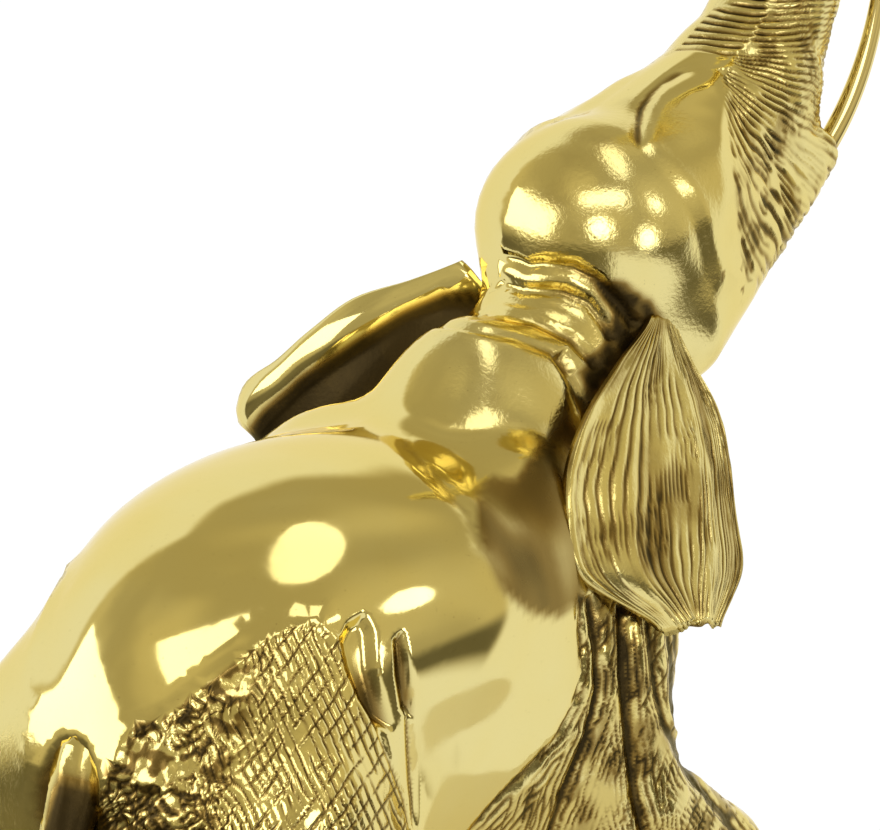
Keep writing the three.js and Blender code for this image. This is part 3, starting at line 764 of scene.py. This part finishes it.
def ear_mesh(middle, grid, carving):
    """A closed leaf, thinner towards its edges; carving gives relief, dark and rough for its two faces."""
    columns, rows = grid
    u, v = np.meshgrid(np.linspace(-1, 1, columns + 1), np.linspace(0, 1, rows + 1))
    e = 0.01
    normal = unit(np.cross(middle(u + e, v) - middle(u - e, v), middle(u, v + e) - middle(u, v - e)))
    depth = EAR_THICKNESS * (1.1 - 0.45 * np.abs(u) - 0.2 * v)
    centre = middle(u, v)
    relief, dark, rough = carving(u, v, centre)
    row = columns + 1
    half = row * (rows + 1)
    points = np.concatenate([
        (centre + normal * (depth / 2 + relief[0])[..., None]).reshape(-1, 3),
        (centre - normal * (depth / 2 + relief[1])[..., None]).reshape(-1, 3),
    ])
    j, i = np.meshgrid(np.arange(rows), np.arange(columns), indexing="ij")
    a = (j * row + i).ravel()
    b, c, d = a + 1, a + row + 1, a + row
    tris = [np.stack([a, b, c], 1), np.stack([a, c, d], 1)]
    tris += [np.stack([a, c, b], 1) + half, np.stack([a, d, c], 1) + half]
    rim = np.concatenate([
        np.arange(columns), columns + row * np.arange(rows),
        row * rows + columns - np.arange(columns), row * (rows - np.arange(rows)),
    ])
    nxt = np.roll(rim, -1)
    tris += [np.stack([nxt, rim, rim + half], 1), np.stack([nxt, rim + half, nxt + half], 1)]
    return points, np.concatenate(tris), np.ravel(dark), np.ravel(rough)


EAR_LINES = 12
EAR_CUT = 0.6
EAR_RIM_HEIGHT = 1.3
# Depth, place across the ear and half width of its flutes, the last of which is raised.
EAR_FLUTES = [(1.6, -0.4, 0.11), (1.5, 0.42, 0.12), (-1.2, 0.02, 0.14)]


def right_ear_carving(u, v, centre):
    """Lines that run from root to end, flutes, and a raised, polished rim."""
    p = np.stack([u * 40, v * 140, v * 0], -1).reshape(-1, 3)

    def cloud(scale, seed, stretch=1.0):
        return noise(p * [1, stretch, 1], scale, seed).reshape(u.shape)

    w = u * EAR_LINES + 0.4 * cloud(16, 31) + 0.2 * cloud(6, 37, 0.3)
    lines = stroke(w, 1.0, 0.15) * smooth(-0.6, 0.1, cloud(7, 32, 0.3))
    finer = stroke(2.3 * w + 0.5 * cloud(5, 38, 0.3), 1.0, 0.2) * smooth(-0.1, 0.4, cloud(6, 33, 0.3))
    cut = np.maximum(lines, 0.8 * finer) * smooth(0.0, 0.1, v)
    flutes = sum(deep * np.exp(-((u - at) / wide) ** 2) for deep, at, wide in EAR_FLUTES)
    rim = smooth(-0.88, -0.97, u) * smooth(0.25, 0.5, v)
    rim = np.maximum(rim, smooth(0.95, 0.99, v) * smooth(0.6, 0.2, u))
    outer = 0.25 - EAR_CUT * cut - flutes * smooth(0.05, 0.4, v) + EAR_RIM_HEIGHT * rim + 0.3 * cloud(6, 34)
    worn = 0.28 * smooth(0.0, 0.6, cloud(14, 36, 0.5)) + 0.12 * np.clip(flutes, 0, 1)
    dark = (cut * (0.8 + 0.2 * cloud(12, 35)) + worn) * (1 - 0.7 * rim)
    zero = np.zeros_like(u)
    return (zero, outer), (zero + 0.6, np.clip(dark, 0, 1)), (zero + 0.5, zero + 0.45)


# The rolled back of the left ear, in the photograph's pixels.
LEFT_EAR_RIDGE = [(236, 440), (264, 402), (304, 366), (352, 334), (404, 302), (446, 284)]
ROLL_HEIGHT = 3.0
ROLL_DROP = 4.0


def left_ear_carving(u, v, centre):
    """The ear's rolled back catches the light; its root side falls away into a hollow that is painted dark as
    shade.
    """
    s = project(centre.reshape(-1, 3))
    ridge = np.interp(s[:, 0], *np.array(LEFT_EAR_RIDGE, float).T)
    below = (s[:, 1] - ridge).reshape(u.shape)
    roll = ROLL_HEIGHT * np.exp(-((below + 14) / 20) ** 2) - ROLL_DROP * smooth(0, 26, below)
    # The root side is painted dark as shade, on both faces.
    shade = smooth(2, 16, below) * smooth(0.0, 0.06, 1 - np.abs(u))
    rough = 0.05 + 0.3 * shade
    return (roll, -roll), (shade, shade), (rough, rough)


# Tail and tusks

def rod_mesh(curve, radius, turns, rings):
    """A closed round rod along a curve; also its rings' outward directions and their places along it."""
    t = np.linspace(0, 1, rings + 1)
    way = unit(curve(t + 0.01) - curve(t - 0.01))
    side = unit(np.cross(way, [0, 1, 0.001]))
    up = np.cross(side, way)
    a = 2 * np.pi * np.arange(turns) / turns
    ring = side[:, None] * np.cos(a)[None, :, None] + up[:, None] * np.sin(a)[None, :, None]
    points = (curve(t)[:, None] + ring * radius(t, a)[..., None]).reshape(-1, 3)
    j, i = np.meshgrid(np.arange(rings), np.arange(turns), indexing="ij")
    p0 = (j * turns + i).ravel()
    p1 = (j * turns + (i + 1) % turns).ravel()
    tris = [np.stack([p0, p1, p1 + turns], 1), np.stack([p0, p1 + turns, p0 + turns], 1)]
    first, last = len(points), len(points) + 1
    points = np.concatenate([points, curve(np.array([0.0])), curve(np.array([1.0]))])
    k = np.arange(turns)
    nxt = (k + 1) % turns
    tris.append(np.stack([np.full(turns, first), nxt, k], 1))
    tris.append(np.stack([np.full(turns, last), rings * turns + k, rings * turns + nxt], 1))
    return points, np.concatenate(tris), ring, t


TAIL_ROOT = body(-0.545, 0, 0.73)
# Direction of the tail's side that gets a painted dark reflection.
TAIL_PAINTED_REFLECTION_SIDE = unit([-0.8, -0.6, 0.05])


def tail_mesh():
    """A tail with a swollen root and a tuft, grooved lengthwise, with a painted dark reflection on the
    viewer's side.
    """
    turns, rings = TAIL_GRID

    def curve(t):
        return np.stack([
            TAIL_ROOT[0] - 30 * np.sin(np.pi * np.minimum(t * 1.4, 1)) - 6 * t,
            -10 * np.sin(3 * t),
            TAIL_ROOT[2] - TAIL_LENGTH * (t - 0.06 * np.sin(np.pi * t)),
        ], -1)

    def radius(t, a):
        swell = (TAIL_ROOT_DIAMETER - TAIL_DIAMETER) / 2 * np.clip(1 - t / 0.45, 0, 1) ** 1.3
        tuft = 30 * np.maximum(t - 0.82, 0) * (1 - t)
        round_part = TAIL_DIAMETER / 2 * (1.1 - 0.6 * t + tuft) + swell
        return round_part[:, None] * (1 + 0.05 * np.cos(8 * a + 2 * np.sin(40 * t)[:, None]))

    points, tris, ring, t = rod_mesh(curve, radius, turns, rings)
    # Painted dark reflection: the tail is darker on its side towards the viewer.
    faces_painted_reflection = (ring @ TAIL_PAINTED_REFLECTION_SIDE).reshape(-1)
    mark = smooth(0.3, 0.6, faces_painted_reflection) * np.repeat(smooth(0.04, 0.1, t), turns)
    mark = np.concatenate([mark, [0, 0]])
    return points, tris, mark, 0.15 + 0.5 * mark


TUSK_RISE = math.radians(42)
TUSK_CURVE = 0.45


def tusk_mesh(side):
    """A tapered rod that curves up from the lip, with a dark joint line at its root."""
    turns, rings = TUSK_GRID
    start = head(0.9, side * 0.62, -0.22)

    def curve(t):
        s = t * TUSK_LENGTH
        rise = TUSK_RISE + TUSK_CURVE * t
        return np.stack([
            start[0] + s * np.cos(rise),
            start[1] + side * s * (0.16 - 0.18 * t),
            start[2] + s * np.sin(rise),
        ], -1)

    def radius(t, a):
        share = np.clip(t, 0, 1) ** 1.5
        thick = TUSK_DIAMETER + (TUSK_TIP_DIAMETER - TUSK_DIAMETER) * share
        return np.repeat(thick[:, None] / 2, len(a), axis=1)

    points, tris, _, t = rod_mesh(curve, radius, turns, rings)
    mark = np.concatenate([np.repeat(smooth(0.1, 0.02, t), turns), [0, 0]])
    return points, tris, mark, mark * 0.3


# Materials

class Graph:
    """Short ways to add nodes to one node tree."""

    def __init__(self, tree):
        self.nodes, self.links = tree.nodes, tree.links

    def add(self, kind, **values):
        made = self.nodes.new(kind)
        for key, value in values.items():
            setattr(made, key, value)
        return made

    def put(self, socket, x):
        """Links a socket to another node's output, or gives it a number or a colour."""
        if isinstance(x, (int, float)):
            socket.default_value = x
        elif isinstance(x, tuple):
            socket.default_value = (*x, 1)
        else:
            self.links.new(x, socket)

    def calc(self, operation, a, b, clamp=False):
        made = self.add("ShaderNodeMath", operation=operation, use_clamp=clamp)
        self.put(made.inputs[0], a)
        self.put(made.inputs[1], b)
        return made.outputs[0]

    def dot(self, direction, vector):
        made = self.add("ShaderNodeVectorMath", operation="DOT_PRODUCT")
        self.links.new(direction, made.inputs[0])
        made.inputs[1].default_value = tuple(vector)
        return made.outputs["Value"]

    def ramp(self, source, low, high, out_low=0, out_high=1):
        made = self.add("ShaderNodeMapRange", interpolation_type="SMOOTHSTEP")
        self.links.new(source, made.inputs["Value"])
        for key, x in (("From Min", low), ("From Max", high), ("To Min", out_low), ("To Max", out_high)):
            made.inputs[key].default_value = x
        return made.outputs[0]

    def mixed(self, a, b, share):
        """A colour between two colours."""
        made = self.add("ShaderNodeMix", data_type="RGBA")
        self.put(made.inputs[6], a)
        self.put(made.inputs[7], b)
        self.put(made.inputs[0], share)
        return made.outputs[2]

    def mixed_number(self, a, b, share):
        made = self.add("ShaderNodeMix")
        for socket, x in zip((2, 3, 0), (a, b, share)):
            self.put(made.inputs[socket], x)
        return made.outputs[0]

    def cloud(self, place, scale, detail, roughness=None):
        made = self.add("ShaderNodeTexNoise")
        self.links.new(place, made.inputs["Vector"])
        made.inputs["Scale"].default_value = scale
        made.inputs["Detail"].default_value = detail
        if roughness is not None:
            made.inputs["Roughness"].default_value = roughness
        return made.outputs["Fac"]


WARM_SHARE = (1.0, 0.96, 0.82)
AMBER = (0.26, 0.17, 0.045)
PATINA_AND_PAINTED_SHADE = (0.036, 0.025, 0.01)
EDGE_TINT = (0.95, 0.87, 0.62, 1)
CLOUD_ROUGHNESS = 0.55
BUMP_METRES = 0.0006


def brass(name, colour, rough_polish, rough_skin):
    """Polished brass with dark patina in the hollows, and painted shade and reflections, both through the dark
    mark; the marks dark and skin come from the mesh.
    """
    made = bpy.data.materials.new(name)
    made.use_nodes = True
    graph = Graph(made.node_tree)
    shader = graph.nodes["Principled BSDF"]
    place = graph.add("ShaderNodeTexCoord").outputs["Object"]

    def cloud(scale, detail):
        return graph.cloud(place, scale, detail, CLOUD_ROUGHNESS)

    dark = graph.add("ShaderNodeAttribute", attribute_name="dark").outputs["Fac"]
    skin = graph.add("ShaderNodeAttribute", attribute_name="skin").outputs["Fac"]
    stain = graph.ramp(cloud(38, 6), 0.45, 0.75)
    specks = graph.ramp(cloud(900, 3), 0.66, 0.74)
    broad = graph.ramp(cloud(9, 3), 0.35, 0.65)
    warm = tuple(c * k for c, k in zip(colour, WARM_SHARE))
    gold = graph.mixed(colour, warm, broad)
    stained = graph.calc("MULTIPLY", graph.calc("MULTIPLY", skin, stain), 0.35)
    share = graph.calc("ADD", graph.calc("MULTIPLY", dark, 0.92), stained, clamp=True)
    share = graph.calc("MAXIMUM", share, graph.calc("MULTIPLY", specks, 0.25))
    # Dark marks run to amber and then to the darkest colour; they carry real patina and also painted shade and
    # reflections.
    tone = graph.mixed(gold, AMBER, graph.ramp(share, 0, 0.6))
    tone = graph.mixed(tone, PATINA_AND_PAINTED_SHADE, graph.ramp(share, 0.4, 1))
    graph.links.new(tone, shader.inputs["Base Color"])
    smudge = graph.calc("MULTIPLY", graph.ramp(cloud(60, 5), 0.4, 0.8), 0.05)
    rough = graph.calc("ADD", graph.ramp(skin, 0, 1, rough_polish, rough_skin), smudge)
    rough = graph.calc("ADD", rough, graph.calc("MULTIPLY", dark, 0.25), clamp=True)
    graph.links.new(rough, shader.inputs["Roughness"])
    shader.inputs["Metallic"].default_value = 1.0
    shader.inputs["Specular Tint"].default_value = EDGE_TINT
    fine = graph.add("ShaderNodeBump")
    fine.inputs["Distance"].default_value = BUMP_METRES
    graph.links.new(graph.calc("MULTIPLY", skin, 0.5), fine.inputs["Strength"])
    graph.links.new(cloud(520, 4), fine.inputs["Height"])
    graph.links.new(fine.outputs["Normal"], shader.inputs["Normal"])
    return made


cast_brass = brass("cast_brass", (0.75, 0.655, 0.29), 0.07, 0.22)
tusk_brass = brass("tusk_brass", (0.8, 0.68, 0.33), 0.06, 0.3)
base_brass = brass("base_brass", (0.5, 0.36, 0.14), 0.3, 0.45)


# Building the pieces

def make_object(name, points, tris, dark, skin, material):
    """A smooth-shaded mesh object in metres, with its marks dark and skin."""
    mesh = bpy.data.meshes.new(name)
    mesh.vertices.add(len(points))
    mesh.vertices.foreach_set("co", (points * MM).astype(np.float32).ravel())
    mesh.loops.add(len(tris) * 3)
    mesh.loops.foreach_set("vertex_index", tris.astype(np.int32).ravel())
    mesh.polygons.add(len(tris))
    mesh.polygons.foreach_set("loop_start", np.arange(0, len(tris) * 3, 3, dtype=np.int32))
    mesh.update(calc_edges=True)
    mesh.polygons.foreach_set("use_smooth", np.ones(len(tris), bool))
    for key, values in (("dark", dark), ("skin", skin)):
        mesh.attributes.new(key, "FLOAT", "POINT").data.foreach_set("value", values.astype(np.float32))
    mesh.materials.append(material)
    mesh.validate()
    made = bpy.data.objects.new(name, mesh)
    bpy.context.scene.collection.objects.link(made)
    return made


def in_cad_box(points, node):
    """Points in millimetres, held inside the CAD node's box."""
    low, high = (np.array(corner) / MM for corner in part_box(node))
    return np.clip(points, low, high)


def stand_for(made, node):
    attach(made, "root")
    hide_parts(node)


def body_mesh():
    points, tris = net_skin()
    points, tris = refine(points, tris, skin_detail)
    normals = unit(gradient(points))
    relief, dark, skin = carve(points)
    points = points + normals * relief[:, None]
    # The soles are flat: three on the base, the right forefoot's STEP_HEIGHT above it.
    lift = FEET + STEP_HEIGHT
    stepping = (points[:, 0] > LEGS[0][4][0] - FORELEG_DIAMETER) & (points[:, 1] < 0)
    sole = np.where(stepping & (points[:, 2] < lift + 20), lift, FEET)
    points[:, 2] = np.maximum(points[:, 2], sole)
    return points, tris, dark, skin


def build_elephant():
    """Body, ears and tail as one piece, because they are one casting."""
    parts = [
        body_mesh(),
        ear_mesh(RIGHT_EAR, RIGHT_EAR_GRID, right_ear_carving),
        ear_mesh(LEFT_EAR, LEFT_EAR_GRID, left_ear_carving),
        tail_mesh(),
    ]
    points, tris, dark, skin = zip(*parts)
    starts = np.cumsum([0] + [len(some) for some in points[:-1]])
    tris = np.concatenate([some + start for some, start in zip(tris, starts)])
    points, dark, skin = (np.concatenate(each) for each in (points, dark, skin))
    return make_object("elephant_skin", in_cad_box(points, "elephant"), tris, dark, skin, cast_brass)


elephant = build_elephant()
stand_for(elephant, "elephant")

for node, side in (("right_tusk", -1), ("left_tusk", 1)):
    points, tris, dark, skin = tusk_mesh(side)
    tusk = make_object(node + "_polished", in_cad_box(points, node), tris, dark, skin, tusk_brass)
    stand_for(tusk, node)

# The base keeps the CAD's own mesh.
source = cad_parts["base"]
plinth = bpy.data.objects.new("base_plinth", source.data.copy())
plinth.data.materials.clear()
plinth.data.materials.append(base_brass)
bpy.context.scene.collection.objects.link(plinth)
plinth.matrix_world = source.matrix_world
stand_for(plinth, "base")


# Studio

FLOOR_RADIUS = 0.5
FLOOR_DROP = 0.0005
FLOOR_COLOUR = (0.92, 0.92, 0.92, 1)
FLOOR_ROUGHNESS = 0.9
LIGHT_DISTANCE = 3.0
LIGHT_AIM = (0.05, -0.03, 0.36)

bpy.ops.mesh.primitive_circle_add(
    vertices=96, radius=FLOOR_RADIUS, fill_type="NGON", location=(0, 0, -FLOOR_DROP))
floor = bpy.context.object
floor.name = "studio_floor"
floor_paint = bpy.data.materials.new("studio_floor")
floor_paint.use_nodes = True
floor_shader = floor_paint.node_tree.nodes["Principled BSDF"]
floor_shader.inputs["Base Color"].default_value = FLOOR_COLOUR
floor_shader.inputs["Roughness"].default_value = FLOOR_ROUGHNESS
floor.data.materials.append(floor_paint)


def from_viewer(turn, rise):
    """Direction at an angle to the right of and above the line from the object to the viewer."""
    a, e = math.radians(turn), math.radians(rise)
    return Vector(math.sin(a) * math.cos(e) * RIGHT + math.cos(a) * math.cos(e) * BACK + math.sin(e) * UP)


def softbox(name, shape, turn, rise, wide, high, glow):
    """An area light that fills the given angles and shows with the given brightness in the polish."""
    light = bpy.data.lights.new(name, "AREA")
    light.shape = shape
    light.size = 2 * LIGHT_DISTANCE * math.tan(math.radians(wide / 2))
    light.size_y = 2 * LIGHT_DISTANCE * math.tan(math.radians(high / 2))
    light.energy = glow * math.pi * light.size * light.size_y
    made = bpy.data.objects.new(name, light)
    bpy.context.scene.collection.objects.link(made)
    way = from_viewer(turn, rise)
    made.location = Vector(LIGHT_AIM) + way * LIGHT_DISTANCE
    made.rotation_mode = "QUATERNION"
    made.rotation_quaternion = way.to_track_quat("Z", "Y")


# Name, shape, turn, rise, width and height in degrees, brightness
for lamp in (
    ("left_box", "RECTANGLE", -70, 14, 56, 30, 2.2),
    ("round_light", "ELLIPSE", 64, 70, 38, 15, 1.1),
    ("near_light", "ELLIPSE", 4, 3, 24, 22, 2.6),
    ("right_low", "ELLIPSE", 54, -4, 20, 20, 2.4),
    ("right_high", "ELLIPSE", 69, 26, 12, 12, 2.0),
    ("upper_box", "RECTANGLE", 10, 34, 44, 16, 2.0),
):
    softbox(*lamp)

# The surround: white behind the object and low on its right, elsewhere a warm room that is dimmer below.
WHITE_STRENGTH = 1.04
WHITE = (1.0, 1.0, 1.0)
ROOM_TINT = (1.0, 0.88, 0.55)
ROOM_DIMMEST = 0.5
ROOM_BRIGHTEST = 0.7
BELOW_SHARE = 0.32
LEFT_TILT = 0.8
RIGHT_TILT = 0.2

world = bpy.data.worlds.new("studio")
bpy.context.scene.world = world
world.use_nodes = True
graph = Graph(world.node_tree)
background = graph.nodes["Background"]
direction = graph.add("ShaderNodeTexCoord").outputs["Generated"]
to_right, to_top, to_back = (graph.dot(direction, axis) for axis in (RIGHT, UP, BACK))
behind = graph.ramp(to_back, -0.22, -0.32)
tilt = graph.calc("ADD", graph.calc("MULTIPLY", graph.calc("MINIMUM", to_right, 0.0), LEFT_TILT),
                  graph.calc("MULTIPLY", graph.calc("MAXIMUM", to_right, 0.0), RIGHT_TILT))
under_top = graph.ramp(graph.calc("ADD", to_top, tilt), 0.8, 0.7)
low_right = graph.calc("MULTIPLY", graph.ramp(to_top, -0.3, -0.45), graph.ramp(to_right, 0.1, 0.3))
white = graph.calc("MAXIMUM", graph.calc("MULTIPLY", behind, under_top), low_right)
wobble = graph.cloud(direction, 1.6, 1.0)
room = graph.calc("MULTIPLY", graph.ramp(wobble, 0.35, 0.65, ROOM_DIMMEST, ROOM_BRIGHTEST),
                  graph.ramp(graph.dot(direction, (0, 0, 1)), -0.16, 0.0, BELOW_SHARE, 1.0))
graph.links.new(graph.mixed_number(room, WHITE_STRENGTH, white), background.inputs["Strength"])
graph.links.new(graph.mixed(ROOM_TINT, WHITE, white), background.inputs["Color"])

# The camera stands where the photograph was taken from.
SENSOR_WIDTH = 36.0
NEAR_CLIP = 0.05
FAR_CLIP = 60

camera_data = bpy.data.cameras.new("camera")
camera_data.sensor_width = SENSOR_WIDTH
camera_data.lens = SENSOR_WIDTH * FOCAL_PIXELS / PHOTO_WIDTH
camera_data.clip_start = NEAR_CLIP
camera_data.clip_end = FAR_CLIP
camera = bpy.data.objects.new("camera", camera_data)
bpy.context.scene.collection.objects.link(camera)
camera.location = Vector(EYE * MM)
camera.rotation_mode = "QUATERNION"
camera.rotation_quaternion = Vector(BACK).to_track_quat("Z", "Y")
bpy.context.scene.camera = camera
bpy.context.scene.view_settings.view_transform = "Standard"
